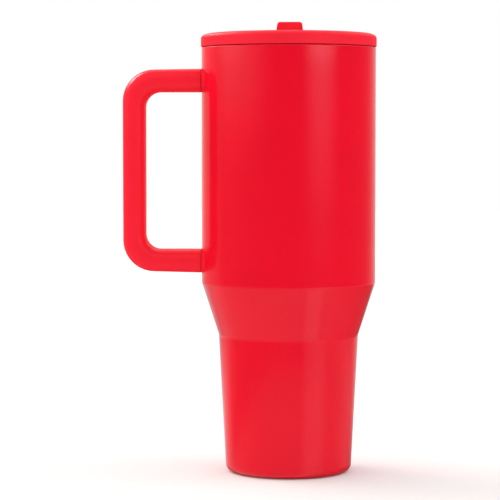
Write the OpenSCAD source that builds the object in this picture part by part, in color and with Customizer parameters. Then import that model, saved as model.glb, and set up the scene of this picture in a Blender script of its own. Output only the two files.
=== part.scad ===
// Insulated travel mug with a side handle, a push-in lid and a flip-up drinking spout.
// Millimetres. The origin is on the mug's axis at the surface that it stands on.
// +Z is up, the handle is on -X and the closed spout points to -Y.

/* [Mug body] */
// Outside diameter of the straight upper body
body_d = 101.2; // [98:0.1:104]
// Height of the rim
rim_z = 247; // [243:1:252]
// Height where the body starts to narrow
shoulder_top_z = 110.8; // [108:0.2:112]
// Height where the narrow lower body starts
shoulder_low_z = 80.2; // [70:0.2:84]
// Outside diameter at the top of the lower body
taper_top_d = 81.4; // [78:0.1:84]
// Outside diameter at the foot of the lower body
taper_low_d = 73.7; // [71:0.1:75]
// Round of the bottom corner
bottom_round = 4.6; // [3:0.1:5]
// Sheet thickness of the outer wall
outer_wall = 0.7; // [0.6:0.1:0.8]
// Sheet thickness of the inner wall
inner_wall = 0.6; // [0.5:0.1:0.6]
// Gap between the two walls
vacuum_gap = 3; // [2.6:0.1:3.2]

/* [Lid] */
// Outside diameter of the lid
lid_d = 102; // [101.8:0.1:104]
// Height of the lid's edge, from its skirt to its flat top
lid_h = 7.6; // [7.4:0.1:8]
// Gap between the rim and the lid's skirt
lid_seam = 0.4; // [0.3:0.1:0.6]
// Depth of the plug below the rim
plug_depth = 13; // [12.6:0.1:14]

/* [Spout] */
// Width of the spout
spout_w = 15; // [14:0.1:16]
// Distance from the hinge to the spout's mouth
spout_l = 42.5; // [41:0.5:44]
// Radius of the spout's barrel
barrel_r = 7.5; // [7.4:0.1:7.6]
// Radius of the drinking channel
channel_r = 3.5; // [3:0.1:3.5]
// Height of the thumb tab above the lid
tab_h = 5.3; // [4:0.1:7]

/* [Straw] */
// Outside radius of the straw
straw_r = 4.2; // [4.1:0.1:4.4]
// Wall of the straw
straw_wall = 0.8; // [0.6:0.1:0.9]
// Gap under the straw, above the table
straw_low_z = 12; // [9:1:20]

/* [Handle] */
// Distance from the mug's axis to the outside of the handle
handle_reach = 96.4; // [90:0.1:102]
// Thickness of the handle, seen from the side
handle_t = 13.1; // [12.6:0.1:14]
// Width of the handle
handle_w = 25; // [23:0.5:28]
// Round of the handle's long edges
handle_round = 5; // [3:0.1:5.4]
// Height of the middle of the upper arm
arm_top_z = 227.8; // [224:0.1:229]
// Height of the middle of the lower arm
arm_low_z = 123.4; // [121.6:0.1:127]
// Bend radius of the handle's centre line
handle_bend = 12.5; // [11:0.5:16]

/* [Hidden] */
$fn = 96;

// Colours
red_gloss = "#e8142b";
red_matt = "#f9283c";
steel = "#c4c6c8";
silicone = "#d9d6d2";

// Mug
body_r = body_d / 2;
shoulder_top_round = 8;
shoulder_low_round = 5.5;
rim_round = 0.6;
weld_z = 7; // seam between the outer wall and the outer base
taper_ref_z = 5; // height at which taper_low_d is measured
sheet_low_z = 0.2; // lowest point of the steel
pad_r = 31.4;
pad_h = 2.2;
pad_gap = 0.2;
inset = outer_wall + vacuum_gap; // from the outside to the inner vessel's outside
floor_z = 6.5; // underside of the inner vessel's floor
floor_round = 7;
neck_r = body_r - outer_wall - inner_wall; // bore that the lid's plug enters
neck_low_z = rim_z - 15;
neck_slope = 6;
dimple_r = 6;
dimple_h = 1.2;
seal_hole_r = 1.6;

// Lid
lid_r = lid_d / 2;
lid_low_z = rim_z + lid_seam;
lid_top_z = lid_low_z + lid_h;
lid_edge_x = 5.2; // the edge's round is an ellipse
lid_edge_z = 2.7;
lid_plate = 2.4;
skirt_wall = 1.5;
flange_low_z = rim_z + 0.1;
flange_top_z = rim_z + 1.9;
flange_r = lid_r - skirt_wall - 0.2;
plug_r = neck_r - 1;
plug_wall = 4.7;
plug_low_z = rim_z - plug_depth;
plug_floor = 2;
groove_r = plug_r - 2.7;
groove_low_z = rim_z - 10.6;
groove_h = 7.2;
gasket_play = 0.1;

// Spout, hinge and port
hinge_y = 14;
hinge_z = lid_top_z - 5;
side_play = 0.4;
pocket_r = barrel_r + 0.5;
trough_w = spout_w + 2 * side_play;
trough_floor_drop = 5.6; // from the hinge down to the trough's floor
trough_front_y = hinge_y - spout_l - 2;
trough_wall = 1.8;
hinge_wall = 3.2;
trunnion_r = 2.2;
trunnion_l = 2.6;
trunnion_play = 0.05;
trunnion_hole_l = 2.5;
bar_low = 5; // the bar's underside below the hinge
bar_high = 5.6; // the bar's top above the hinge
bar_round = 2.4;
tab_lip = 3.3; // the thumb tab's overhang past the spout's mouth
tab_round = 1.9;
dish_r = 16;
dish_drop = 8.5;
port_r = 5;
port_play = 0.1;
port_flange_r = 6.3;
port_flange_h = 0.6;
riser_r = 6.4;
riser_top_z = hinge_z - 10.4;
port_boss_r = 7.6;
vent_y = -10;
vent_r = 1.5;
socket_r = straw_r + 1.6;
socket_l = 12;
stop_l = 1; // ledge in the socket that the straw stops at

// Handle
seam_x = -body_r - 0.3; // where the arms meet the brackets
bar_x = -(handle_reach - handle_t / 2);
core_t = handle_t - 3.5;
core_w = handle_w - 6;
core_round = 2;
tang_l = 16;
tang_w = 14;
tang_t = 5.4;
tang_shift = 1.1; // the tang sits this far from the arm's middle, away from the gap
tang_play = 0.1;
screw_x = seam_x - 9;
screw_r = 1.5;
screw_l = 6;
head_r = 2.75;
head_h = 1.7;
head_seat = 1.6; // depth of the screw head's seat in the core
cap_r = 3.2;
cap_h = 1.5;
flare_z = 1.6;
flare_y = 3.6;
arm_mid_z = (arm_top_z + arm_low_z) / 2;

// ---------- helpers ----------

function unit(v) = v / norm(v);

// Points of a round of radius r at corner b, between the directions to a and c.
function corner(a, b, c, r, n = 6) =
    let (
        u = unit(a - b),
        v = unit(c - b),
        half = acos(u * v) / 2,
        m = b + unit(u + v) * r / sin(half),
        p = b + u * r / tan(half) - m,
        q = b + v * r / tan(half) - m,
        a0 = atan2(p[1], p[0]),
        turn = (atan2(q[1], q[0]) - a0 + 540) % 360 - 180
    )
    [for (i = [0:n]) m + r * [cos(a0 + turn * i / n), sin(a0 + turn * i / n)]];

// A closed outline from [x, y, radius] entries, where radius 0 is a sharp corner.
function rounded(path) =
    let (n = len(path), at = [for (p = path) [p[0], p[1]]])
    [for (i = [0:n - 1])
        each path[i][2] == 0
            ? [at[i]]
            : corner(at[(i + n - 1) % n], at[i], at[(i + 1) % n], path[i][2])];

// Outside radius of the narrow lower body at height z.
function taper_r(z) =
    taper_low_d / 2 + (taper_top_d - taper_low_d) / 2
        * (z - taper_ref_z) / (shoulder_low_z - taper_ref_z);

module turned(path) {
    rotate_extrude() polygon(rounded(path));
}

// A rectangle w by h with round corners, centred, made of true circles.
module round_rect(w, h, r) {
    square([w - 2 * r, h], center = true);
    square([w, h - 2 * r], center = true);
    for (sx = [-1, 1], sy = [-1, 1])
        translate([sx * (w / 2 - r), sy * (h / 2 - r)]) circle(r);
}

// A child drawn in the Y-Z plane, extruded along X.
module along_x(l) {
    rotate([90, 0, 90]) linear_extrude(l, center = true) children();
}

module cylinder_x(r, l) {
    rotate([0, 90, 0]) cylinder(r = r, h = l, center = true);
}

module at_port() {
    translate([0, hinge_y, 0]) children();
}

module at_hinge() {
    translate([0, hinge_y, hinge_z]) children();
}

// The lower arm's pieces are the upper arm's pieces, mirrored about the handle's middle.
module lower_arm() {
    translate([0, 0, 2 * arm_mid_z]) mirror([0, 0, 1]) children();
}

// ---------- mug ----------

module outer_shell() {
    color(red_gloss)
        turned([
            [taper_r(weld_z), weld_z, 0],
            [taper_top_d / 2, shoulder_low_z, shoulder_low_round],
            [body_r, shoulder_top_z, shoulder_top_round],
            [body_r, rim_z, rim_round],
            [body_r - outer_wall, rim_z, 0],
            [body_r - outer_wall, shoulder_top_z, shoulder_top_round - outer_wall],
            [taper_top_d / 2 - outer_wall, shoulder_low_z, shoulder_low_round + outer_wall],
            [taper_r(weld_z) - outer_wall, weld_z, 0]
        ]);
}

module outer_base() {
    recess_r = pad_r + pad_gap;
    color(red_gloss)
        turned([
            [taper_r(weld_z), weld_z, 0],
            [taper_r(sheet_low_z), sheet_low_z, bottom_round],
            [recess_r, sheet_low_z, 0.3],
            [recess_r, pad_h, 0],
            [dimple_r + 2, pad_h, 0],
            [dimple_r, pad_h + dimple_h, 0],
            [seal_hole_r, pad_h + dimple_h, 0],
            [seal_hole_r, pad_h + dimple_h + outer_wall, 0],
            [dimple_r - 0.4, pad_h + dimple_h + outer_wall, 0],
            [dimple_r + 1.6, pad_h + outer_wall, 0],
            [recess_r + outer_wall, pad_h + outer_wall, 0.3],
            [recess_r + outer_wall, sheet_low_z + outer_wall, 0],
            [taper_r(sheet_low_z) - outer_wall, sheet_low_z + outer_wall,
                bottom_round - outer_wall],
            [taper_r(weld_z) - outer_wall, weld_z, 0]
        ]);
}

module inner_vessel() {
    in = inset + inner_wall;
    color(steel)
        turned([
            [0, floor_z, 0],
            [taper_r(floor_z) - inset, floor_z, floor_round],
            [taper_top_d / 2 - inset, shoulder_low_z, shoulder_low_round + inset],
            [body_r - inset, shoulder_top_z, shoulder_top_round - inset],
            [body_r - inset, neck_low_z - neck_slope, 2],
            [body_r - outer_wall, neck_low_z, 2],
            [body_r - outer_wall, rim_z, 0],
            [neck_r, rim_z, 0.3],
            [neck_r, neck_low_z, 2],
            [body_r - in, neck_low_z - neck_slope, 2],
            [body_r - in, shoulder_top_z, shoulder_top_round - in],
            [taper_top_d / 2 - in, shoulder_low_z, shoulder_low_round + in],
            [taper_r(floor_z) - in, floor_z + inner_wall, floor_round - inner_wall],
            [0, floor_z + inner_wall, 0]
        ]);
}

// Solder bead that closes the hole through which the air was drawn out.
module vacuum_plug() {
    color("dimgray")
        turned([
            [0, pad_h + 0.5, 0],
            [3.2, pad_h + 0.5, 0.4],
            [3.4, pad_h + dimple_h, 0],
            [seal_hole_r, pad_h + dimple_h, 0],
            [seal_hole_r, pad_h + dimple_h + outer_wall, 0],
            [0, pad_h + dimple_h + outer_wall, 0]
        ]);
}

// Pellet in its clip that soaks up stray gas in the vacuum.
module getter() {
    color("gray")
        translate([18, 0, pad_h + outer_wall]) {
            cylinder(r = 5, h = 0.6);
            translate([0, 0, 0.6]) cylinder(r = 4, h = 1.6);
        }
}

module foot_pad() {
    groove_w = 1.2;
    color(red_matt)
        difference() {
            cylinder(r = pad_r, h = pad_h);
            for (r = [12, 20, 28])
                translate([0, 0, -0.1])
                    difference() {
                        cylinder(r = r + groove_w / 2, h = 0.5);
                        cylinder(r = r - groove_w / 2, h = 0.5);
                    }
        }
}

// ---------- handle ----------

// Outline of a bracket's foot: half height t at the seam, opening in a round of radius f.
module flared(t, f) {
    steps = 8;
    side = [for (i = [0:steps])
        [seam_x + f * sin(90 * i / steps), t + f * (1 - cos(90 * i / steps))]];
    polygon(concat(
        side,
        [[-body_r / 2, t + f], [-body_r / 2, -t - f]],
        [for (i = [steps:-1:0]) [side[i][0], -side[i][1]]]
    ));
}

// Steel foot welded to the outer wall, with the tang that the arm slides over.
module upper_bracket() {
    color(red_gloss)
        difference() {
            union() {
                intersection() {
                    translate([0, handle_w, arm_top_z])
                        rotate([90, 0, 0])
                            linear_extrude(2 * handle_w) flared(handle_t / 2, flare_z);
                    translate([0, 0, arm_top_z - handle_w])
                        linear_extrude(2 * handle_w) flared(handle_w / 2, flare_y);
                }
                translate([seam_x - tang_l, -tang_w / 2, arm_top_z + tang_shift - tang_t / 2])
                    cube([tang_l + 1, tang_w, tang_t]);
            }
            cylinder(r = body_r, h = rim_z);
            translate([screw_x, 0, arm_top_z - handle_t])
                cylinder(r = screw_r, h = 2 * handle_t);
        }
}

module lower_bracket() {
    lower_arm() upper_bracket();
}

// A rounded bar t by w, swept along the handle's C-shaped centre line.
module handle_sweep(t, w, r) {
    arm_l = abs(bar_x - seam_x) - handle_bend;
    rise = arm_top_z - arm_low_z - 2 * handle_bend;
    for (end = [[arm_top_z, 0], [arm_low_z, 1]]) {
        translate([seam_x, 0, end[0]])
            rotate([0, -90, 0])
                linear_extrude(arm_l) round_rect(t, w, r);
        translate([bar_x + handle_bend, 0, end[0] + (end[1] * 2 - 1) * handle_bend])
            rotate([90, end[1] == 0 ? -90 : 180, 0])
                rotate_extrude(angle = 90)
                    translate([handle_bend, 0]) round_rect(t, w, r);
    }
    translate([bar_x, 0, arm_low_z + handle_bend])
        linear_extrude(rise) round_rect(t, w, r);
}

module upper_tang_socket() {
    translate([seam_x - tang_l - 0.5, -tang_w / 2 - tang_play,
            arm_top_z + tang_shift - tang_t / 2 - tang_play])
        cube([tang_l + 1.5, tang_w + 2 * tang_play, tang_t + 2 * tang_play]);
}

module upper_screw_holes() {
    translate([screw_x, 0, arm_top_z - core_t / 2 - 1]) {
        cylinder(r = head_r + 0.1, h = head_seat + 1);
        cylinder(r = screw_r + 0.1, h = head_seat + 4);
    }
}

// Rigid frame inside the handle.
module handle_core() {
    color("dimgray")
        difference() {
            handle_sweep(core_t, core_w, core_round);
            upper_tang_socket();
            upper_screw_holes();
            lower_arm() {
                upper_tang_socket();
                upper_screw_holes();
            }
        }
}

module upper_cap_hole() {
    translate([screw_x, 0, arm_top_z - handle_t / 2 - 1])
        cylinder(r = cap_r, h = (handle_t - core_t) / 2 + 1);
}

// Soft skin moulded over the frame.
module handle_grip() {
    color(red_matt)
        difference() {
            handle_sweep(handle_t, handle_w, handle_round);
            handle_sweep(core_t, core_w, core_round);
            upper_cap_hole();
            lower_arm() upper_cap_hole();
        }
}

module upper_screw() {
    seat_z = arm_top_z - core_t / 2 + head_seat;
    color(steel)
        difference() {
            union() {
                translate([screw_x, 0, seat_z - head_h]) cylinder(r = head_r, h = head_h);
                translate([screw_x, 0, seat_z]) cylinder(r = screw_r, h = screw_l);
            }
            translate([screw_x, 0, seat_z - head_h - 0.1]) cylinder(r = 1.2, h = 1.2, $fn = 6);
        }
}

module lower_screw() {
    lower_arm() upper_screw();
}

// Plug that hides the screw's head.
module upper_screw_cap() {
    color(red_matt)
        translate([screw_x, 0, arm_top_z - handle_t / 2])
            cylinder(r = cap_r, h = cap_h);
}

module lower_screw_cap() {
    lower_arm() upper_screw_cap();
}

// ---------- lid ----------

// Seal ring with three upward lips that wipe the neck.
module lid_gasket() {
    low = groove_low_z + gasket_play;
    high = groove_low_z + groove_h - gasket_play;
    back_r = groove_r + gasket_play;
    root_r = back_r + 1.1;
    lip_r = neck_r - 0.05;
    lips = [for (z = [low + 0.4, low + 2.5, low + 4.6])
        each [[root_r, z, 0], [lip_r, z + 1.2, 0], [lip_r, z + 1.6, 0], [root_r, z + 1.2, 0]]];
    color(silicone)
        turned(concat(
            [[back_r, low, 0], [root_r, low, 0]],
            lips,
            [[root_r, high, 0], [back_r, high, 0]]
        ));
}

// The space that the spout needs in the lid, grown by a wall where one is wanted.
module trough(w, wall = 0) {
    at_hinge() cylinder_x(pocket_r + wall, w);
    translate([-w / 2, hinge_y - pocket_r - wall, hinge_z])
        cube([w, 2 * (pocket_r + wall), lid_top_z - hinge_z + 1]);
    translate([-w / 2, trough_front_y - wall, hinge_z - trough_floor_drop - wall])
        cube([w, hinge_y - trough_front_y + wall,
            trough_floor_drop + wall + lid_top_z - hinge_z + 1]);
}

// Round hollow that lets a thumb and finger reach the tab.
module dish(r) {
    translate([0, trough_front_y + 2, lid_top_z + dish_r - dish_drop]) sphere(r);
}

module lid_shell() {
    rib_r = 45;
    edge = [for (i = [0:8])
        [lid_r - lid_edge_x + lid_edge_x * cos(90 * i / 8),
            lid_top_z - lid_edge_z + lid_edge_z * sin(90 * i / 8), 0]];
    color(red_matt)
        difference() {
            union() {
                turned(concat(
                    [
                        [0, lid_top_z - lid_plate, 0],
                        [rib_r - 1, lid_top_z - lid_plate, 0],
                        [rib_r - 1, flange_top_z, 0],
                        [rib_r + 1, flange_top_z, 0],
                        [rib_r + 1, lid_top_z - lid_plate, 0],
                        [lid_r - skirt_wall, lid_top_z - lid_plate, 0],
                        [lid_r - skirt_wall, lid_low_z, 0],
                        [lid_r, lid_low_z, 0.3]
                    ],
                    edge,
                    [[0, lid_top_z, 0]]
                ));
                intersection() {
                    union() {
                        trough(trough_w + 2 * hinge_wall, trough_wall);
                        dish(dish_r + trough_wall);
                        at_port() translate([0, 0, riser_top_z + port_flange_h])
                            cylinder(r = port_boss_r, h = 4);
                    }
                    translate([0, 0, plug_low_z])
                        cylinder(r = rib_r, h = lid_top_z - plug_low_z);
                }
            }
            trough(trough_w);
            dish(dish_r);
            at_hinge()
                cylinder_x(trunnion_r + trunnion_play, trough_w + 2 * trunnion_hole_l);
            at_port() translate([0, 0, riser_top_z])
                cylinder(r = port_r + port_play, h = 6);
            translate([0, vent_y, plug_low_z]) cylinder(r = 1.2, h = lid_top_z - plug_low_z);
        }
}

// Plug that carries the seal ring, the drinking port and the straw's socket.
module lid_base() {
    color(red_matt)
        difference() {
            union() {
                turned([
                    [0, plug_low_z, 0],
                    [plug_r, plug_low_z, 1],
                    [plug_r, groove_low_z, 0],
                    [groove_r, groove_low_z, 0],
                    [groove_r, groove_low_z + groove_h, 0],
                    [plug_r, groove_low_z + groove_h, 0],
                    [plug_r, flange_low_z, 0],
                    [flange_r, flange_low_z, 0],
                    [flange_r, flange_top_z, 0],
                    [plug_r - plug_wall, flange_top_z, 0],
                    [plug_r - plug_wall, plug_low_z + plug_floor, 1],
                    [0, plug_low_z + plug_floor, 0]
                ]);
                at_port() {
                    translate([0, 0, plug_low_z]) cylinder(r = riser_r, h = riser_top_z - plug_low_z);
                    translate([0, 0, plug_low_z - socket_l]) cylinder(r = socket_r, h = socket_l + 1);
                }
            }
            at_port() {
                translate([0, 0, plug_low_z - socket_l - 1])
                    cylinder(r = channel_r, h = riser_top_z - plug_low_z + socket_l + 2);
                translate([0, 0, plug_low_z - socket_l - 1])
                    cylinder(r = straw_r, h = socket_l + 1 - stop_l);
            }
            translate([0, vent_y, plug_low_z - 1]) cylinder(r = vent_r, h = plug_floor + 2);
        }
}

// Saddle seal between the lid's port and the spout's barrel.
module port_seal() {
    color(silicone)
        difference() {
            at_port() translate([0, 0, riser_top_z]) {
                cylinder(r = port_flange_r, h = port_flange_h);
                cylinder(r = port_r, h = 7);
            }
            at_port() translate([0, 0, riser_top_z - 1]) cylinder(r = channel_r, h = 9);
            at_hinge() cylinder_x(barrel_r + port_play, 3 * port_r);
        }
}

// One-way valve that lets air in as the mug empties.
module vent_valve() {
    color(silicone)
        translate([0, vent_y, plug_low_z])
            turned([
                [0, -1.3, 0],
                [1.6, -1.3, 0.4],
                [4.6, -0.5, 0],
                [4.6, 0, 0],
                [vent_r - 0.05, 0, 0],
                [vent_r - 0.05, plug_floor, 0],
                [2.1, plug_floor, 0],
                [1.1, plug_floor + 1.6, 0],
                [0, plug_floor + 1.6, 0]
            ]);
}

module straw() {
    l = plug_low_z - stop_l - straw_low_z;
    color("#f4c7c9")
        at_port() translate([0, 0, straw_low_z])
            difference() {
                cylinder(r = straw_r, h = l);
                translate([0, 0, -1]) cylinder(r = straw_r - straw_wall, h = l + 2);
            }
}

// ---------- spout ----------

module thumb_tab() {
    mouth_y = hinge_y - spout_l;
    bar_top_z = hinge_z + bar_high;
    top_z = lid_top_z + tab_h;
    base_z = bar_top_z - 3;
    intersection() {
        along_x(spout_w)
            polygon(rounded([
                [mouth_y + 17, base_z, 0],
                [mouth_y + 17, bar_top_z, 0],
                [mouth_y + 9, top_z - 1.7, 3],
                [mouth_y + 5, top_z, 3],
                [mouth_y - tab_lip + 0.3, top_z, 0.9],
                [mouth_y - tab_lip, lid_top_z + 0.5, 0.6],
                [mouth_y, lid_top_z - 0.9, 0.6],
                [mouth_y, base_z, 0]
            ]));
        translate([0, mouth_y + 20, top_z - 10])
            rotate([90, 0, 0])
                linear_extrude(30) round_rect(spout_w, 20, tab_round);
    }
}

module spout() {
    mouth_y = hinge_y - spout_l;
    bar_h = bar_low + bar_high;
    color(red_matt)
        difference() {
            union() {
                at_hinge() {
                    cylinder_x(barrel_r, spout_w);
                    cylinder_x(trunnion_r, spout_w + 2 * trunnion_l);
                }
                translate([0, hinge_y, hinge_z - bar_low + bar_h / 2])
                    rotate([90, 0, 0])
                        linear_extrude(spout_l) round_rect(spout_w, bar_h, bar_round);
                thumb_tab();
            }
            translate([0, mouth_y - 10, hinge_z])
                rotate([-90, 0, 0]) cylinder(r = channel_r, h = spout_l + barrel_r + 11);
        }
}

outer_shell();
outer_base();
inner_vessel();
vacuum_plug();
getter();
foot_pad();
upper_bracket();
lower_bracket();
handle_core();
handle_grip();
upper_screw();
lower_screw();
upper_screw_cap();
lower_screw_cap();
lid_gasket();
lid_shell();
lid_base();
port_seal();
vent_valve();
straw();
spout();
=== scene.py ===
"""A red insulated travel mug: fine pieces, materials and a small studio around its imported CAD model.

Sizes are in millimetres in the lists below and turned into metres when a mesh is made.
+Z is up, the handle is on -X, the closed spout points to -Y and the camera looks along +Y.
"""

import math

import bmesh
import bpy
from mathutils import Matrix, Vector


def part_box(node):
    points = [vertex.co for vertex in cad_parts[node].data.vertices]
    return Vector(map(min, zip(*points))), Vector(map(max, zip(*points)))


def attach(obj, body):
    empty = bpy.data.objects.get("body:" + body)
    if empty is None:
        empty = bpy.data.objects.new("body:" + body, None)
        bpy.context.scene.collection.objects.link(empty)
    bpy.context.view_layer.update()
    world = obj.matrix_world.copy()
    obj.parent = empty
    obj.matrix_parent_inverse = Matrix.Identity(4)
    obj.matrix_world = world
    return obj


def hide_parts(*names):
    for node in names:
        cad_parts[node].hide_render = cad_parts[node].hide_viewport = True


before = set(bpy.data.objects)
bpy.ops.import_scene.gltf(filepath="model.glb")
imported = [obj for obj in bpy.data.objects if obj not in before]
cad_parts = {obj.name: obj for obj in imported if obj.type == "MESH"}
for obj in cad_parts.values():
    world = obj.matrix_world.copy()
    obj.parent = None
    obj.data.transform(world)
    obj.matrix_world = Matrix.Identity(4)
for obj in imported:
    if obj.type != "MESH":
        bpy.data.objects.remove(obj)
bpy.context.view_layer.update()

MM = 0.001
TURNS = 192  # facets round a turned piece
ARC_STEPS = 10  # facets round a corner of an outline
SHARP = math.radians(38)

# ---------- sizes ----------

BODY_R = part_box("outer_shell")[1].x / MM
RIM_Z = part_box("outer_shell")[1].z / MM
WELD_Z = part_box("outer_shell")[0].z / MM
SHEET_LOW_Z = 0.05
SHOULDER_TOP_Z = 110.4
SHOULDER_LOW_Z = 79.9
TAPER_TOP_R = 40.7
TAPER_LOW_R = 36.85
TAPER_LOW_Z = 5
SHOULDER_TOP_ROUND = 4.5
SHOULDER_LOW_ROUND = 7
BOTTOM_ROUND = 4.5
RIM_ROUND = 0.6
OUTER_WALL = 0.7
INNER_WALL = 0.6
INSET = 3.7  # from the outside to the inner vessel's outside
VESSEL_LOW_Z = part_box("inner_vessel")[0].z / MM
VESSEL_ROUND = 7
VESSEL_BEND = 4
NECK_R = BODY_R - OUTER_WALL - INNER_WALL
NECK_LOW_Z = RIM_Z - 15
NECK_SLOPE = 6

PAD_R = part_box("foot_pad")[1].x / MM
PAD_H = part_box("foot_pad")[1].z / MM
PAD_GAP = 0.2
DIMPLE_R = 6
DIMPLE_H = 1.2
SEAL_HOLE_R = 1.6

LID_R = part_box("lid_shell")[1].x / MM
LID_TOP_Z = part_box("lid_shell")[1].z / MM
LID_LOW_Z = RIM_Z + 0.4
LID_EDGE_X = 5.2
LID_EDGE_Z = 2.7
LID_PLATE = 2.4
SKIRT_WALL = 1.5
PLUG_R = NECK_R - 1
PLUG_WALL = 4.7
PLUG_LOW_Z = RIM_Z - 13
PLUG_FLOOR = 2
FLANGE_LOW_Z = RIM_Z + 0.1
FLANGE_TOP_Z = RIM_Z + 1.9
FLANGE_R = LID_R - SKIRT_WALL - 0.2
GROOVE_R = PLUG_R - 2.7
GROOVE_LOW_Z = RIM_Z - 10.6
GROOVE_H = 7.2

HINGE_Y = 14
HINGE_Z = LID_TOP_Z - 5
SPOUT_W = 15
SPOUT_L = 42.5
MOUTH_Y = HINGE_Y - SPOUT_L
BARREL_R = 7.5
CHANNEL_R = 3.5
BAR_LOW = 5
BAR_HIGH = 5.6
BAR_ROUND = 2.4
TAB_TOP_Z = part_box("spout")[1].z / MM
TAB_LIP = 3.3
TAB_DRAFT = 0.6  # how much each side leans in
TROUGH_W = 15.8
TROUGH_FRONT_Y = MOUTH_Y - 2
TROUGH_FLOOR_Z = HINGE_Z - 5.6
TROUGH_WALL = 1.8
HINGE_WALL = 3.2
POCKET_R = 8
DISH_R = 16
DISH_Z = LID_TOP_Z + DISH_R - 8.5
PORT_R = 5.1
PORT_TOP_Z = HINGE_Z - 4
BOSS_R = 7.6
RISER_R = 6.4
RISER_TOP_Z = HINGE_Z - 10.4
TRUNNION_R = 2.2
TRUNNION_L = 2.6
TRUNNION_HOLE_L = 2.5
VENT_Y = -10
VENT_R = 1.2
VENT_SEAT_R = 1.5
SOCKET_L = 12
SOCKET_WALL = 1.6

SEAM_X = -BODY_R - 0.3
SEAM_GAP = 0.15
GRIP_OUT_X = -96.35
GRIP_IN_X = -82.95
GRIP_OUT_ROUND = 18.3
GRIP_IN_ROUND = 8.8
ARM_HIGH_Z = (234.1, 234.75)  # top of the upper arm, at the grip and at the seam
ARM_HIGH_UNDER_Z = 221.1
ARM_LOW_OVER_Z = 130.1
ARM_LOW_Z = (117.5, 116.35)  # underside of the lower arm, at the grip and at the seam
HANDLE_W = 25
HANDLE_SOFTNESS = 3.0  # 2 makes the handle's section an ellipse and more makes it squarer
END_ROUND = 0.35
FLARE_Z = 0.9
FLARE_Y = 2.6
FOOT_LIP = 0.2
FOOT_SINK = 0.08  # how far the foot's edge lies inside the wall's outside
FOOT_ROOT = 0.35  # and how far its closed end goes on from there
TANG_L = 16
TANG_W = 14
TANG_T = 5.4
TANG_SHIFT = 1.1
CAP_X = SEAM_X - 9
CAP_R = 3.15

STRAW_R = 4.2
STRAW_WALL = 0.8
STRAW_LOW_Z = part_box("straw")[0].z / MM
STRAW_TOP_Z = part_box("straw")[1].z / MM

FLOOR_HALF = 4000
CAMERA_AT = (-22.5, -1193.2, 197.5)
CAMERA_DOWN = 3.27  # degrees below level
CAMERA_LENS = 147.34
ONE_REFLECTION = 2  # depth of a ray that has been mirrored once and leaves the scene


# ---------- outlines ----------


def corner(before, at, after, radius):
    """Points of a round at a corner, from the side of the point before to the side of the one after."""
    u = (before - at).normalized()
    v = (after - at).normalized()
    half = u.angle(v) / 2
    middle = at + (u + v).normalized() * radius / math.sin(half)
    first = at + u * radius / math.tan(half) - middle
    turn = first.angle_signed(at + v * radius / math.tan(half) - middle)
    return [middle + Matrix.Rotation(-turn * i / ARC_STEPS, 2) @ first for i in range(ARC_STEPS + 1)]


def rounded(path, support=0.35):
    """A closed outline from (x, y, radius) corners, with a point close to each end of a long side."""
    at = [Vector(p[:2]) for p in path]
    line = []
    for i, p in enumerate(path):
        around = (at[i - 1], at[i], at[(i + 1) % len(path)])
        line.append(corner(*around, p[2]) if p[2] else [at[i]])
    points = []
    for i, stretch in enumerate(line):
        points += stretch
        end, start = stretch[-1], line[(i + 1) % len(line)][0]
        side = start - end
        if side.length > 6 * support:
            points += [end + side.normalized() * support, start - side.normalized() * support]
    return points


def ellipse_corner(x, y, a, b):
    """Corners with no round along a quarter ellipse, from (x + a, y) up to (x, y + b)."""
    steps = [math.pi / 2 * i / ARC_STEPS for i in range(ARC_STEPS + 1)]
    return [(x + a * math.cos(t), y + b * math.sin(t), 0) for t in steps]


def round_rect(w, h, r):
    return rounded([(w / 2, h / 2, r), (-w / 2, h / 2, r), (-w / 2, -h / 2, r), (w / 2, -h / 2, r)])


def taper_r(z):
    """Outside radius of the narrow lower body at height z."""
    share = (z - TAPER_LOW_Z) / (SHOULDER_LOW_Z - TAPER_LOW_Z)
    return TAPER_LOW_R + (TAPER_TOP_R - TAPER_LOW_R) * share


# ---------- meshes ----------


def mesh_object(name, verts, faces):
    mesh = bpy.data.meshes.new(name)
    mesh.from_pydata([Vector(v) * MM for v in verts], [], faces)
    mesh.update()
    made = bmesh.new()
    made.from_mesh(mesh)
    bmesh.ops.recalc_face_normals(made, faces=made.faces)
    made.to_mesh(mesh)
    made.free()
    obj = bpy.data.objects.new(name, mesh)
    bpy.context.scene.collection.objects.link(obj)
    return obj


def skin(name, rings, closed=False):
    """A surface over rings of points.

    A ring of one point is a pole, and closed joins the last ring to the first.
    """
    verts, index, faces = [], [], []
    for ring in rings:
        index.append(range(len(verts), len(verts) + len(ring)))
        verts += ring
    for i in range(len(rings) if closed else len(rings) - 1):
        here, there = index[i], index[(i + 1) % len(rings)]
        for k in range(max(len(here), len(there))):
            face = [here[k % len(here)], here[(k + 1) % len(here)],
                    there[(k + 1) % len(there)], there[k % len(there)]]
            face = list(dict.fromkeys(face))
            if len(face) > 2:
                faces.append(face)
    if not closed:
        faces += [list(index[0]), list(index[-1])]
    return mesh_object(name, verts, [f for f in faces if len(f) > 2])


def lathe(name, path, y=0, turns=TURNS):
    """A closed outline of (radius, height, round) corners turned about a vertical axis at (0, y)."""
    rings = []
    for r, z in rounded(path):
        steps = [2 * math.pi * k / turns for k in range(turns)] if r > 1e-6 else [0]
        rings.append([(r * math.cos(t), y + r * math.sin(t), z) for t in steps])
    return skin(name, rings, closed=True)


def prism(name, outline, low, high, axis):
    """An outline drawn across an axis and pushed along it from low to high."""
    order = {"x": (2, 0, 1), "y": (0, 2, 1), "z": (0, 1, 2)}[axis]
    rings = []
    for level in (low, high):
        points = [(p[0], p[1], level) for p in outline]
        rings.append([tuple(point[i] for i in order) for point in points])
    return skin(name, rings)


def block(name, low, high):
    corners = [(low[0], low[1]), (high[0], low[1]), (high[0], high[1]), (low[0], high[1])]
    return prism(name, corners, low[2], high[2], "z")


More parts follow.
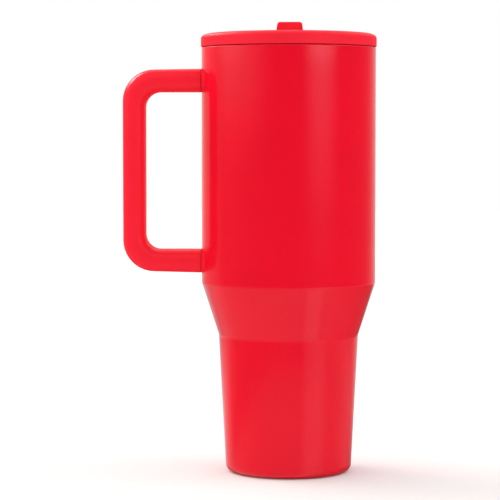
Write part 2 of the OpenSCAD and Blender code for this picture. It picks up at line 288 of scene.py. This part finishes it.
def pillar(name, radius, low, high, y=0, turns=64):
    """An upright cylinder."""
    return lathe(name, [(0, low, 0), (radius, low, 0), (radius, high, 0), (0, high, 0)], y, turns)


def rod_x(name, radius, length, round_off=0):
    """A rod along X about the hinge's line."""
    half = length / 2
    path = [(0, -half, 0), (radius, -half, round_off), (radius, half, round_off), (0, half, 0)]
    rod = lathe(name, path, turns=96)
    rod.data.transform(Matrix.Rotation(math.pi / 2, 4, "Y"))
    rod.data.transform(Matrix.Translation(Vector((0, HINGE_Y, HINGE_Z)) * MM))
    return rod


def settle(obj):
    """Applies the object's modifiers to its mesh."""
    bpy.context.view_layer.update()
    graph = bpy.context.evaluated_depsgraph_get()
    mesh = bpy.data.meshes.new_from_object(obj.evaluated_get(graph))
    obj.modifiers.clear()
    obj.data = mesh
    return obj


def combine(obj, how, *tools):
    """Joins, cuts or intersects obj with the tools, which are used up."""
    for tool in tools:
        step = obj.modifiers.new("combine", "BOOLEAN")
        step.operation = how
        step.solver = "EXACT"
        step.object = tool
        settle(obj)
        bpy.data.objects.remove(tool)
    return obj


def soften(obj, width, segments=3, angle=SHARP):
    """Rounds the sharp edges, as a moulded piece has them."""
    merge = obj.modifiers.new("merge", "WELD")
    merge.merge_threshold = 0.02 * MM
    step = obj.modifiers.new("soften", "BEVEL")
    step.width = width * MM
    step.segments = segments
    step.limit_method = "ANGLE"
    step.angle_limit = angle
    step.use_clamp_overlap = True
    step.miter_outer = "MITER_ARC"
    return settle(obj)


def shade(obj, weighted=False):
    mesh = obj.data
    mesh.polygons.foreach_set("use_smooth", [True] * len(mesh.polygons))
    mesh.set_sharp_from_angle(angle=SHARP)
    if weighted:
        step = obj.modifiers.new("weighted", "WEIGHTED_NORMAL")
        step.keep_sharp = True
        settle(obj)
    return obj


def place(obj, body, slot, material, *nodes):
    """The piece rides on a body, stands for CAD nodes and has a finish."""
    obj.data.materials.clear()
    obj.data.materials.append(material)
    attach(obj, body)
    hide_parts(*nodes)


# ---------- materials ----------


class Shader:
    """A material with a principled shader and short ways to add what feeds it."""

    def __init__(self, name, colour, roughness, **sockets):
        self.material = bpy.data.materials.new(name)
        self.material.use_nodes = True
        self.tree = self.material.node_tree
        self.principled = self.tree.nodes["Principled BSDF"]
        self.principled.inputs["Base Color"].default_value = (*colour, 1)
        self.principled.inputs["Roughness"].default_value = roughness
        for socket, value in sockets.items():
            self.principled.inputs[socket.replace("_", " ").title()].default_value = value
        self.place = self.add("ShaderNodeTexCoord").outputs["Object"]
        self.heights = []

    def add(self, kind, **values):
        node = self.tree.nodes.new(kind)
        for key, value in values.items():
            setattr(node, key, value)
        return node

    def link(self, a, b):
        self.tree.links.new(a, b)

    def stretched(self, scale):
        node = self.add("ShaderNodeMapping")
        node.inputs["Scale"].default_value = scale
        self.link(self.place, node.inputs["Vector"])
        return node.outputs["Vector"]

    def noise(self, size, detail=2, scale=(1, 1, 1)):
        """Noise whose blotches are about size millimetres across."""
        node = self.add("ShaderNodeTexNoise")
        node.inputs["Scale"].default_value = 1 / (size * MM)
        node.inputs["Detail"].default_value = detail
        self.link(self.stretched(scale), node.inputs["Vector"])
        return node.outputs["Fac"]

    def spread(self, value, low, high, centre=0.5, half=0.2):
        """Spreads a noise value over low to high."""
        node = self.add("ShaderNodeMapRange")
        node.inputs["From Min"].default_value = centre - half
        node.inputs["From Max"].default_value = centre + half
        node.inputs["To Min"].default_value = low
        node.inputs["To Max"].default_value = high
        self.link(value, node.inputs["Value"])
        return node.outputs["Result"]

    def tint(self, value, first, second):
        """The base colour goes from first to second with value."""
        node = self.add("ShaderNodeMix", data_type="RGBA")
        first_socket, second_socket = [s for s in node.inputs if s.type == "RGBA"]
        first_socket.default_value = (*first, 1)
        second_socket.default_value = (*second, 1)
        self.link(value, node.inputs["Factor"])
        mixed = [s for s in node.outputs if s.type == "RGBA"][0]
        self.link(mixed, self.principled.inputs["Base Color"])

    def rough(self, value, low, high):
        self.link(self.spread(value, low, high), self.principled.inputs["Roughness"])

    def bump(self, value, height, into=("Normal",)):
        """A relief of that height in millimetres. Later ones lie on earlier ones."""
        node = self.add("ShaderNodeBump")
        node.inputs["Strength"].default_value = 1
        node.inputs["Distance"].default_value = height * MM
        self.link(value, node.inputs["Height"])
        if self.heights:
            self.link(self.heights[-1], node.inputs["Normal"])
        self.heights.append(node.outputs["Normal"])
        for socket in into:
            self.link(node.outputs["Normal"], self.principled.inputs[socket])


def shades(colour, change):
    """A colour a little darker and the same a little lighter."""
    return tuple(c * (1 - change) for c in colour), tuple(min(1, c * (1 + change)) for c in colour)


def enamel(name, colour, coat):
    paint = Shader(name, colour, 0.35, coat_weight=coat, coat_roughness=0.035)
    paint.principled.inputs["Coat IOR"].default_value = 1.3
    paint.principled.inputs["Specular IOR Level"].default_value = 0.05 * coat
    paint.tint(paint.spread(paint.noise(38), 0, 1), *shades(colour, 0.03))
    paint.rough(paint.noise(6), 0.29, 0.36)
    paint.bump(paint.noise(2.2, 1), 0.0035, ("Normal", "Coat Normal"))
    paint.bump(paint.noise(0.5), 0.0006, ("Normal", "Coat Normal"))
    return paint.material


def plastic(name, colour, grain, gloss, gloss_roughness=0.16):
    """A dull plastic under a thin gloss."""
    made = Shader(name, colour, 0.5, coat_weight=gloss, coat_roughness=gloss_roughness)
    made.principled.inputs["Coat IOR"].default_value = 1.3
    made.principled.inputs["Specular IOR Level"].default_value = 0
    made.tint(made.spread(made.noise(24), 0, 1), *shades(colour, 0.03))
    made.rough(made.noise(5), 0.46, 0.54)
    made.bump(made.noise(3, 1), 0.004)
    made.bump(made.noise(grain, 3), 0.006)
    return made.material


def rubber(name, colour, roughness, **sockets):
    made = Shader(name, colour, roughness, **sockets)
    made.tint(made.spread(made.noise(12), 0, 1), *shades(colour, 0.05))
    made.rough(made.noise(3), roughness - 0.06, roughness + 0.06)
    made.bump(made.noise(0.4, 3), 0.012)
    return made.material


def metal(name, colour, roughness, scale, height):
    """Steel with fine lines across the direction that scale draws out."""
    made = Shader(name, colour, roughness, metallic=1)
    lines = made.noise(1.2, 4, scale)
    made.tint(made.spread(lines, 0, 1), *shades(colour, 0.06))
    made.rough(lines, roughness - 0.07, roughness + 0.07)
    made.bump(lines, height)
    return made.material


RED_ENAMEL = enamel("red_enamel", (0.775, 0.0024, 0.0178), 1)
# the feet have the body's red paint without its gloss coat; their colour is lighter than the body's,
# painted sheen standing in for the coat's reflections
FOOT_ENAMEL_WITH_PAINTED_SHEEN = enamel("foot_enamel_with_painted_sheen", (0.84, 0.015, 0.033), 0)
LID_PLASTIC = plastic("lid_plastic", (0.86, 0.0145, 0.0345), 0.35, 0.55, 0.42)
HANDLE_PLASTIC = plastic("handle_plastic", (0.89, 0.0172, 0.0357), 0.3, 0.38, 0.14)
CORE_PLASTIC = plastic("core_plastic", (0.03, 0.03, 0.032), 0.6, 0.3)
PAD_RUBBER = rubber("pad_rubber", (0.62, 0.010, 0.030), 0.62)
SEAL_SILICONE = rubber("seal_silicone", (0.72, 0.70, 0.66), 0.45,
                       subsurface_weight=0.2, subsurface_scale=0.002)
STRAW_PLASTIC = plastic("straw_plastic", (0.80, 0.32, 0.34), 0.8, 0.7, 0.1)
VESSEL_STEEL = metal("vessel_steel", (0.60, 0.59, 0.58), 0.24, (1, 1, 12), 0.004)
SCREW_STEEL = metal("screw_steel", (0.52, 0.52, 0.53), 0.3, (1, 1, 4), 0.003)
SOLDER = metal("solder", (0.42, 0.42, 0.43), 0.45, (1, 1, 1), 0.05)
GETTER_METAL = metal("getter_metal", (0.30, 0.30, 0.31), 0.55, (2, 2, 2), 0.03)


# ---------- mug ----------


def outer_shell():
    return lathe("body_wall", [
        (taper_r(WELD_Z), WELD_Z, 0),
        (TAPER_TOP_R, SHOULDER_LOW_Z, SHOULDER_LOW_ROUND),
        (BODY_R, SHOULDER_TOP_Z, SHOULDER_TOP_ROUND),
        (BODY_R, RIM_Z, RIM_ROUND),
        (BODY_R - OUTER_WALL, RIM_Z, 0),
        (BODY_R - OUTER_WALL, SHOULDER_TOP_Z, SHOULDER_TOP_ROUND - OUTER_WALL),
        (TAPER_TOP_R - OUTER_WALL, SHOULDER_LOW_Z, SHOULDER_LOW_ROUND + OUTER_WALL),
        (taper_r(WELD_Z) - OUTER_WALL, WELD_Z, 0)])


def outer_base():
    recess = PAD_R + PAD_GAP
    top = PAD_H + DIMPLE_H
    low = taper_r(SHEET_LOW_Z)
    return lathe("base_cup", [
        (taper_r(WELD_Z), WELD_Z, 0),
        (low, SHEET_LOW_Z, BOTTOM_ROUND),
        (recess, SHEET_LOW_Z, 0.3),
        (recess, PAD_H, 0.2),
        (DIMPLE_R + 2, PAD_H, 0.6),
        (DIMPLE_R, top, 0.5),
        (SEAL_HOLE_R, top, 0),
        (SEAL_HOLE_R, top + OUTER_WALL, 0),
        (DIMPLE_R - 0.4, top + OUTER_WALL, 0.5),
        (DIMPLE_R + 1.6, PAD_H + OUTER_WALL, 0.6),
        (recess + OUTER_WALL, PAD_H + OUTER_WALL, 0.3),
        (recess + OUTER_WALL, SHEET_LOW_Z + OUTER_WALL, 0),
        (low - OUTER_WALL, SHEET_LOW_Z + OUTER_WALL, BOTTOM_ROUND - OUTER_WALL),
        (taper_r(WELD_Z) - OUTER_WALL, WELD_Z, 0)])


def inner_vessel():
    inside = INSET + INNER_WALL
    return lathe("inner_cup", [
        (0, VESSEL_LOW_Z, 0),
        (taper_r(VESSEL_LOW_Z) - INSET, VESSEL_LOW_Z, VESSEL_ROUND),
        (TAPER_TOP_R - INSET, SHOULDER_LOW_Z, SHOULDER_LOW_ROUND + INSET),
        (BODY_R - INSET, SHOULDER_TOP_Z, VESSEL_BEND),
        (BODY_R - INSET, NECK_LOW_Z - NECK_SLOPE, 2),
        (BODY_R - OUTER_WALL, NECK_LOW_Z, 2),
        (BODY_R - OUTER_WALL, RIM_Z, 0),
        (NECK_R, RIM_Z, 0.3),
        (NECK_R, NECK_LOW_Z, 2),
        (BODY_R - inside, NECK_LOW_Z - NECK_SLOPE, 2),
        (BODY_R - inside, SHOULDER_TOP_Z, VESSEL_BEND),
        (TAPER_TOP_R - inside, SHOULDER_LOW_Z, SHOULDER_LOW_ROUND + inside),
        (taper_r(VESSEL_LOW_Z) - inside, VESSEL_LOW_Z + INNER_WALL, VESSEL_ROUND - INNER_WALL),
        (0, VESSEL_LOW_Z + INNER_WALL, 0)])


def foot_pad():
    """The pad, with three ring grooves and a rounded edge."""
    path = [(0, 0, 0)]
    for r in (12, 20, 28):
        path += [(r - 0.7, 0, 0.2), (r - 0.5, 0.4, 0.15), (r + 0.5, 0.4, 0.15), (r + 0.7, 0, 0.2)]
    path += [(PAD_R, 0, 0.5), (PAD_R, PAD_H, 0.1), (0, PAD_H, 0)]
    return lathe("foot_ring_pad", path)


# ---------- handle ----------


def section(t, w, steps=96):
    """A soft rectangle t by w, as (across, along Y) points."""
    points = []
    for k in range(steps):
        c = math.cos(2 * math.pi * k / steps)
        s = math.sin(2 * math.pi * k / steps)
        points.append((math.copysign(abs(c) ** (2 / HANDLE_SOFTNESS), c) * t / 2,
                       math.copysign(abs(s) ** (2 / HANDLE_SOFTNESS), s) * w / 2))
    return points


def side_line(high, low, grip_x, radius):
    """One side of the handle, seen along Y, from the upper seam round the grip to the lower seam."""
    ends = [Vector((SEAM_X, high[1])), Vector((grip_x, high[0])), Vector((grip_x, low[0])),
            Vector((SEAM_X, low[1]))]
    bends = [corner(ends[i - 1], ends[i], ends[i + 1], radius) for i in (1, 2)]
    line = [ends[0].lerp(bends[0][0], i / 16) for i in range(16)] + bends[0]
    line += [bends[0][-1].lerp(bends[1][0], i / 6) for i in range(1, 6)] + bends[1]
    return line + [bends[1][-1].lerp(ends[3], i / 16) for i in range(1, 17)]


def handle_grip():
    """The section spans the outer and the inner side all the way, and its ends are rounded over."""
    outside = side_line(ARM_HIGH_Z, ARM_LOW_Z, GRIP_OUT_X, GRIP_OUT_ROUND)
    inside = side_line((ARM_HIGH_UNDER_Z,) * 2, (ARM_LOW_OVER_Z,) * 2, GRIP_IN_X, GRIP_IN_ROUND)
    spans = list(zip(outside, inside))
    rings = []
    for p, q in spans:
        across = (p - q).normalized()
        rings.append([((p + q) / 2 + across * a, b) for a, b in section((p - q).length, HANDLE_W)])
    ends = []
    for p, q in (spans[0], spans[-1]):
        across = (p - q).normalized()
        end = []
        for i in range(6):
            t = math.pi / 2 * i / 5
            shrink = 2 * END_ROUND * (1 - math.cos(t))
            middle = (p + q) / 2 - Vector((END_ROUND * (1 - math.sin(t)), 0))
            end.append([(middle + across * a, b)
                        for a, b in section((p - q).length - shrink, HANDLE_W - shrink)])
        ends.append(end)
    rings = ends[0][::-1] + rings[1:-1] + ends[1]
    return skin("grip", [[(spot.x, b, spot.y) for spot, b in ring] for ring in rings])


def bracket(name, high, low):
    """The painted foot: it takes over the arm's section, flares onto the body and holds the tang."""
    t, middle = high - low, (high + low) / 2
    start = SEAM_X + SEAM_GAP
    edge_share = 0.2  # of the way from the seam to the body
    stages = []
    for i in range(5):
        turn = math.pi / 2 * i / 4
        stages.append((edge_share * (1 - math.cos(turn)), 2 * FOOT_LIP * (1 - math.sin(turn)), 0))
    for i in range(1, 15):
        turn = math.pi / 2 * i / 14
        stages.append((edge_share + (1 - edge_share) * math.sin(turn), 0, 2 * (1 - math.cos(turn))))
    rings = []
    for share, trim, grow in stages:
        ring = []
        for a, b in section(t - trim + FLARE_Z * grow, HANDLE_W - trim + FLARE_Y * grow):
            skin_x = FOOT_SINK - math.sqrt(BODY_R ** 2 - b ** 2)
            ring.append((start + (skin_x - start) * share, b, middle + a))
        rings.append(ring)
    rings.append([(x + FOOT_ROOT, b, z) for x, b, z in rings[-1]])
    foot = skin(name, rings)
    shift = TANG_SHIFT if middle > (ARM_HIGH_UNDER_Z + ARM_LOW_OVER_Z) / 2 else -TANG_SHIFT
    outline = [(y, z + middle + shift) for y, z in round_rect(TANG_W, TANG_T, 0.8)]
    return combine(foot, "UNION", prism("tang", outline, SEAM_X - TANG_L, SEAM_X + 0.5, "x"))


def screw_cap(name, z, face_down):
    """A low plug with a dished face, a little below the arm's skin."""
    cap = lathe(name, [(0, 0.3, 0), (1.9, 0.3, 1.5), (2.5, 0.1, 0.3), (CAP_R, 0.15, 0.2),
                       (CAP_R, 1.5, 0), (0, 1.5, 0)], turns=64)
    if not face_down:
        cap.data.transform(Matrix.Rotation(math.pi, 4, "X"))
    cap.data.transform(Matrix.Translation(Vector((CAP_X, 0, z)) * MM))
    return cap


# ---------- lid ----------


def trough(name, w, wall=0):
    """The space that the spout lies in, grown by a wall where one is wanted."""
    high = LID_TOP_Z + 2
    barrel = rod_x(name, POCKET_R + wall, w)
    above = block("above", (-w / 2, HINGE_Y - POCKET_R - wall, HINGE_Z),
                  (w / 2, HINGE_Y + POCKET_R + wall, high))
    channel = block("channel", (-w / 2, TROUGH_FRONT_Y - wall, TROUGH_FLOOR_Z - wall),
                    (w / 2, HINGE_Y, high))
    return combine(barrel, "UNION", above, channel)


def dish(name, r):
    """A ball that hollows the lid where a finger reaches the tab."""
    steps = 48
    path = [(r * math.cos(t), DISH_Z + r * math.sin(t), 0)
            for t in [math.pi * (i / steps - 0.5) for i in range(1, steps)]]
    path = [(0, DISH_Z - r, 0), *path, (0, DISH_Z + r, 0)]
    return lathe(name, path, y=TROUGH_FRONT_Y + 2, turns=96)


def lid_shell():
    edge = ellipse_corner(LID_R - LID_EDGE_X, LID_TOP_Z - LID_EDGE_Z, LID_EDGE_X, LID_EDGE_Z)
    top = lathe("lid_top", [
        (0, LID_TOP_Z - LID_PLATE, 0),
        (LID_R - SKIRT_WALL, LID_TOP_Z - LID_PLATE, 0.8),
        (LID_R - SKIRT_WALL, LID_LOW_Z, 0.3),
        (LID_R, LID_LOW_Z, 0.35),
        *edge,
        (0, LID_TOP_Z, 0)])
    tub = combine(trough("tub", TROUGH_W + 2 * HINGE_WALL, TROUGH_WALL), "UNION",
                  dish("dish_wall", DISH_R + TROUGH_WALL),
                  pillar("port_boss", BOSS_R, RISER_TOP_Z + 0.6, PORT_TOP_Z, HINGE_Y))
    combine(tub, "INTERSECT", pillar("room", LID_R - 5, PLUG_LOW_Z, LID_TOP_Z - 1, turns=TURNS))
    combine(top, "UNION", tub)
    combine(top, "DIFFERENCE", trough("room_for_spout", TROUGH_W), dish("dish", DISH_R),
            rod_x("trunnion_holes", TRUNNION_R + 0.05, TROUGH_W + 2 * TRUNNION_HOLE_L),
            pillar("port", PORT_R, RISER_TOP_Z, PORT_TOP_Z, HINGE_Y),
            pillar("vent", VENT_R, PLUG_LOW_Z, LID_TOP_Z + 1, VENT_Y, 32))
    return soften(top, 0.35)


def lid_base():
    plug = lathe("lid_plug", [
        (0, PLUG_LOW_Z, 0),
        (PLUG_R, PLUG_LOW_Z, 1),
        (PLUG_R, GROOVE_LOW_Z, 0.3),
        (GROOVE_R, GROOVE_LOW_Z, 0.2),
        (GROOVE_R, GROOVE_LOW_Z + GROOVE_H, 0.2),
        (PLUG_R, GROOVE_LOW_Z + GROOVE_H, 0.3),
        (PLUG_R, FLANGE_LOW_Z, 0.2),
        (FLANGE_R, FLANGE_LOW_Z, 0.3),
        (FLANGE_R, FLANGE_TOP_Z, 0.2),
        (PLUG_R - PLUG_WALL, FLANGE_TOP_Z, 0.2),
        (PLUG_R - PLUG_WALL, PLUG_LOW_Z + PLUG_FLOOR, 1),
        (0, PLUG_LOW_Z + PLUG_FLOOR, 0)])
    socket_low = PLUG_LOW_Z - SOCKET_L
    riser = lathe("riser", [
        (CHANNEL_R, RISER_TOP_Z, 0),
        (RISER_R, RISER_TOP_Z, 0.3),
        (RISER_R, PLUG_LOW_Z + 1, 0),
        (RISER_R + 0.5, PLUG_LOW_Z + 1, 0),
        (RISER_R + 0.5, PLUG_LOW_Z - 0.4, 0.5),
        (STRAW_R + SOCKET_WALL, PLUG_LOW_Z - 1.6, 1),
        (STRAW_R + SOCKET_WALL, socket_low, 0.5),
        (STRAW_R, socket_low, 0.3),
        (STRAW_R, PLUG_LOW_Z - 1, 0),
        (CHANNEL_R, PLUG_LOW_Z - 1, 0)], y=HINGE_Y, turns=96)
    combine(plug, "DIFFERENCE",
            pillar("through", 5, PLUG_LOW_Z - 1, RISER_TOP_Z + 1, HINGE_Y, 96),
            pillar("vent", VENT_SEAT_R, PLUG_LOW_Z - 1, PLUG_LOW_Z + 3, VENT_Y, 48))
    return combine(plug, "UNION", riser)


def lid_gasket():
    """The seal ring: a band with three thin lips that lean up to the neck."""
    low = GROOVE_LOW_Z + 0.1
    high = GROOVE_LOW_Z + GROOVE_H - 0.1
    back = GROOVE_R + 0.1
    root = back + 1.1
    lip = NECK_R - 0.05
    path = [(back, low, 0.2), (root, low, 0.2)]
    for z in (low + 0.4, low + 2.5, low + 4.6):
        path += [(root, z, 0.15), (lip, z + 1.2, 0.15), (lip, z + 1.6, 0.15), (root, z + 1.2, 0.15)]
    path += [(root, high, 0.2), (back, high, 0.2)]
    return lathe("seal_ring", path)


def straw():
    inside = STRAW_R - STRAW_WALL
    return lathe("drinking_straw", [
        (inside, STRAW_LOW_Z, 0.3),
        (STRAW_R, STRAW_LOW_Z, 0.35),
        (STRAW_R, STRAW_TOP_Z, 0.3),
        (inside, STRAW_TOP_Z, 0.3)], y=HINGE_Y, turns=96)


# ---------- spout ----------


def thumb_tab():
    """A wedge that rises to a lip over the mouth, with round upper corners."""
    low = HINGE_Z + BAR_HIGH - 3
    bar_top = HINGE_Z + BAR_HIGH
    side = rounded([
        (MOUTH_Y + 18, low, 0),
        (MOUTH_Y + 18, bar_top, 0),
        (MOUTH_Y + 15.5, bar_top, 4),
        (MOUTH_Y + 8, TAB_TOP_Z - 1.2, 4),
        (MOUTH_Y + 4, TAB_TOP_Z, 4),
        (MOUTH_Y - TAB_LIP + 0.3, TAB_TOP_Z, 0.9),
        (MOUTH_Y - TAB_LIP, LID_TOP_Z + 0.5, 0.6),
        (MOUTH_Y, LID_TOP_Z - 0.9, 0.6),
        (MOUTH_Y, low, 0)])
    wedge = prism("thumb_tab", side, -SPOUT_W / 2, SPOUT_W / 2, "x")
    w, top_w = SPOUT_W / 2, SPOUT_W / 2 - TAB_DRAFT
    front = rounded([(top_w, TAB_TOP_Z, 1.7), (-top_w, TAB_TOP_Z, 1.7), (-w, bar_top, 0),
                     (-w, low - 2, 0), (w, low - 2, 0), (w, bar_top, 0)])
    frame_block = prism("tab_front", front, MOUTH_Y - 12, MOUTH_Y + 24, "y")
    return combine(wedge, "INTERSECT", frame_block)


def spout():
    half = (BAR_HIGH - BAR_LOW) / 2
    bar_outline = [(x, z + HINGE_Z + half) for x, z in round_rect(SPOUT_W, BAR_LOW + BAR_HIGH, BAR_ROUND)]
    made = combine(rod_x("flip_spout", BARREL_R, SPOUT_W, 0.9), "UNION",
                   prism("bar", bar_outline, MOUTH_Y, HINGE_Y, "y"), thumb_tab())
    bore = pillar("bore", CHANNEL_R, MOUTH_Y - 10, HINGE_Y + 9)
    bore.data.transform(Matrix.Rotation(-math.pi / 2, 4, "X"))
    bore.data.transform(Matrix.Translation(Vector((0, 0, HINGE_Z)) * MM))
    combine(made, "DIFFERENCE", bore)
    soften(made, 0.45)
    return combine(made, "UNION", rod_x("trunnions", TRUNNION_R, SPOUT_W + 2 * TRUNNION_L, 0.3))


def make_mug():
    place(shade(outer_shell()), "mug", "red_paint", RED_ENAMEL, "outer_shell")
    place(shade(outer_base()), "mug", "red_paint", RED_ENAMEL, "outer_base")
    feet = (("upper_foot", ARM_HIGH_Z[1], ARM_HIGH_UNDER_Z, "upper_bracket"),
            ("lower_foot", ARM_LOW_OVER_Z, ARM_LOW_Z[1], "lower_bracket"))
    for name, high, low, node in feet:
        # the feet's colour carries painted sheen in place of the body's gloss coat
        place(shade(bracket(name, high, low)), "mug", "red_paint", FOOT_ENAMEL_WITH_PAINTED_SHEEN, node)
    place(shade(inner_vessel()), "mug", "vessel_steel", VESSEL_STEEL, "inner_vessel")
    place(shade(foot_pad()), "mug", "red_rubber", PAD_RUBBER, "foot_pad")
    place(shade(handle_grip()), "mug", "red_plastic", HANDLE_PLASTIC, "handle_grip")
    cap_faces = (("upper_plug", ARM_HIGH_UNDER_Z, True, "upper_screw_cap"),
                 ("lower_plug", ARM_LOW_OVER_Z, False, "lower_screw_cap"))
    for name, z, face_down, node in cap_faces:
        place(shade(screw_cap(name, z, face_down)), "mug", "red_plastic", HANDLE_PLASTIC, node)


def make_lid():
    place(shade(lid_shell(), True), "lid", "red_plastic", LID_PLASTIC, "lid_shell")
    place(shade(lid_base(), True), "lid", "red_plastic", LID_PLASTIC, "lid_base")
    place(shade(straw()), "lid", "straw_plastic", STRAW_PLASTIC, "straw")
    place(shade(lid_gasket()), "gasket", "silicone", SEAL_SILICONE, "lid_gasket")
    place(shade(spout(), True), "spout", "red_plastic", LID_PLASTIC, "spout")


def finish_kept_nodes():
    """CAD nodes whose shape stays get their materials."""
    kept = {"vacuum_plug": SOLDER, "getter": GETTER_METAL, "handle_core": CORE_PLASTIC,
            "upper_screw": SCREW_STEEL, "lower_screw": SCREW_STEEL,
            "port_seal": SEAL_SILICONE, "vent_valve": SEAL_SILICONE}
    for name, material in kept.items():
        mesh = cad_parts[name].data
        mesh.materials.clear()
        mesh.materials.append(material)


# ---------- studio ----------


class Sky:
    """A studio drawn by direction: bearing is 0 towards the camera and grows to its right, in degrees."""

    def __init__(self):
        world = bpy.data.worlds.new("studio")
        bpy.context.scene.world = world
        world.use_nodes = True
        self.tree = world.node_tree
        self.tree.nodes.clear()
        way = self.tree.nodes.new("ShaderNodeSeparateXYZ")
        self.tree.links.new(self.tree.nodes.new("ShaderNodeTexCoord").outputs["Generated"], way.inputs[0])
        x, y, z = way.outputs
        self.bearing = self.math("DEGREES", self.math("ARCTAN2", x, self.math("MULTIPLY", y, -1.0)))
        self.height = self.math("DEGREES", self.math("ARCSINE", z))
        self.light = None

    def math(self, how, a, b=0.0):
        node = self.tree.nodes.new("ShaderNodeMath")
        node.operation = how
        for socket, value in zip(node.inputs, (a, b)):
            if isinstance(value, (int, float)):
                socket.default_value = value
            else:
                self.tree.links.new(value, socket)
        return node.outputs[0]

    def rise(self, value, dark, lit):
        """Goes smoothly from 0 where value is dark to 1 where it is lit."""
        node = self.tree.nodes.new("ShaderNodeMapRange")
        node.interpolation_type = "SMOOTHSTEP"
        node.inputs["From Min"].default_value = min(dark, lit)
        node.inputs["From Max"].default_value = max(dark, lit)
        node.inputs["To Min"].default_value = 0 if dark < lit else 1
        node.inputs["To Max"].default_value = 1 if dark < lit else 0
        self.tree.links.new(value, node.inputs["Value"])
        return node.outputs["Result"]

    def panel(self, strength, bearings=(), heights=(), tint=(1, 1, 1), mirrored_only=False):
        """A light whose edges are (dark, lit) pairs of bearings and heights.

        A mirrored_only light shows just in the surfaces that mirror it straight to the viewer.
        """
        share = strength
        if mirrored_only:
            path = self.tree.nodes.new("ShaderNodeLightPath")
            straight = self.math("LESS_THAN", path.outputs["Ray Depth"], ONE_REFLECTION + 0.5)
            mirrored = self.math("MULTIPLY", path.outputs["Is Glossy Ray"], straight)
            share = self.math("MULTIPLY", mirrored, strength)
        for value, edges in ((self.bearing, bearings), (self.height, heights)):
            for dark, lit in edges:
                share = self.math("MULTIPLY", self.rise(value, dark, lit), share)
        glow = self.tree.nodes.new("ShaderNodeBackground")
        glow.inputs["Color"].default_value = (*tint, 1)
        if isinstance(share, (int, float)):
            glow.inputs["Strength"].default_value = share
        else:
            self.tree.links.new(share, glow.inputs["Strength"])
        if self.light is None:
            self.light = glow.outputs[0]
            return
        both = self.tree.nodes.new("ShaderNodeAddShader")
        self.tree.links.new(self.light, both.inputs[0])
        self.tree.links.new(glow.outputs[0], both.inputs[1])
        self.light = both.outputs[0]

    def finish(self):
        """Shows an even white backdrop behind the object, which the panels light."""
        nodes, links = self.tree.nodes, self.tree.links
        backdrop = nodes.new("ShaderNodeBackground")
        backdrop.inputs["Color"].default_value = (1, 1, 1, 1)
        pick = nodes.new("ShaderNodeMixShader")
        links.new(nodes.new("ShaderNodeLightPath").outputs["Is Camera Ray"], pick.inputs[0])
        links.new(self.light, pick.inputs[1])
        links.new(backdrop.outputs[0], pick.inputs[2])
        links.new(pick.outputs[0], nodes.new("ShaderNodeOutputWorld").inputs[0])


def make_sky():
    """Soft light from above, a key on the left, and low panels that the glossy body mirrors."""
    sky = Sky()
    behind_left = (-165, -120)
    ahead_right = (130, 50)
    above = (75, 50)
    low = (24, 8)
    under = (-12, -8)
    streak = (12, 6)
    reds = (1, 0, 0)
    # an even glow, and the soft light from above
    sky.panel(0.10)
    sky.panel(0.98, heights=[(8, 24), (88, 50)])
    sky.panel(0.3, heights=[(45, 80)])
    # the key on the left, its mirrored streak, and the weaker lights on the right
    sky.panel(1.0, [(-30, -80), (-180, -155)], [(8, 30), above], (1, 1, 0.85))
    sky.panel(5, [(-98, -108), (-146, -136)], [(28, 36), (56, 47)])
    sky.panel(13, [(-110, -128), (-162, -148)], [(18, 27), (54, 42)], mirrored_only=True)
    sky.panel(0.35, [(20, 75)], [(8, 30), above])
    sky.panel(3, [(70, 80), (112, 102)], [(32, 38), (56, 50)])
    # bands that the upright body mirrors: right of its middle, left of it, and along both edges
    sky.panel(1.95, [(14, 40), (72, 44)], [(-4.5, 5), low], (0.93, 0.95, 1.15))
    sky.panel(1.7, [(14, 36), (72, 46)], [(1.7, 2.5), streak])
    sky.panel(0.6, [(-55, -75), (-118, -95)], [(1.7, 2.5), streak])
    sky.panel(0.75, [(-16, -72), (-112, -80)], [(-0.5, 2.6), low])
    sky.panel(0.35, [(-16, -60), (-110, -90)], [(-2, 2), low])
    sky.panel(0.45, [(112, 166)], [low, under])
    sky.panel(0.25, [(-95, -112)], [low, under])
    sky.panel(0.25, [(-140, -170)], [low, under])
    sky.panel(0.3, [(105, 130)], [(16, 6), (-12, -6)], reds)
    sky.panel(0.6, [(-108, -125)], [(16, 6), (-7, -3)], reds)
    # in place of the floor: what the tapered foot mirrors, then what the shoulder does
    sky.panel(0.4, [(-112, -135)], [(-7, -9.5), (-17, -13)])
    sky.panel(0.9, [(-30, -50), (-125, -105)], [(-5.5, -6.5), (-9, -8)])
    sky.panel(0.4, [(30, 50), (150, 110)], [(-7.5, -10), (-14.2, -11.6)])
    sky.panel(0.65, [(18, 34), (75, 50)], [(-7, -10), (-36, -28)])
    sky.panel(0.55, [behind_left, ahead_right], [(-11.3, -13.6)])
    sky.panel(0.25, [behind_left, ahead_right], [(-26, -38)])
    sky.panel(0.6, [(22, 34), (58, 48)], [(-30, -37)])
    sky.finish()


def make_floor():
    """A wide pale floor. The glossy body mirrors the sky's lower panels in place of it."""
    corners = [(x * FLOOR_HALF, y * FLOOR_HALF, 0) for x, y in ((-1, -1), (1, -1), (1, 1), (-1, 1))]
    floor = mesh_object("floor", corners, [[0, 1, 2, 3]])
    surface = Shader("pale_floor", (0.76, 0.76, 0.76), 0.9)
    surface.principled.inputs["Specular IOR Level"].default_value = 0.1
    surface.bump(surface.noise(20, 2), 0.02)
    floor.data.materials.append(surface.material)
    floor.visible_glossy = False


def make_camera():
    camera = bpy.data.cameras.new("camera")
    camera.sensor_width = 36
    camera.lens = CAMERA_LENS
    holder = bpy.data.objects.new("camera", camera)
    holder.location = Vector(CAMERA_AT) * MM
    holder.rotation_euler = (math.radians(90 - CAMERA_DOWN), 0, 0)
    bpy.context.scene.collection.objects.link(holder)
    bpy.context.scene.camera = holder


bpy.context.scene.view_settings.view_transform = "Standard"
make_mug()
make_lid()
finish_kept_nodes()
make_sky()
make_floor()
make_camera()

bpy.context.view_layer.update()
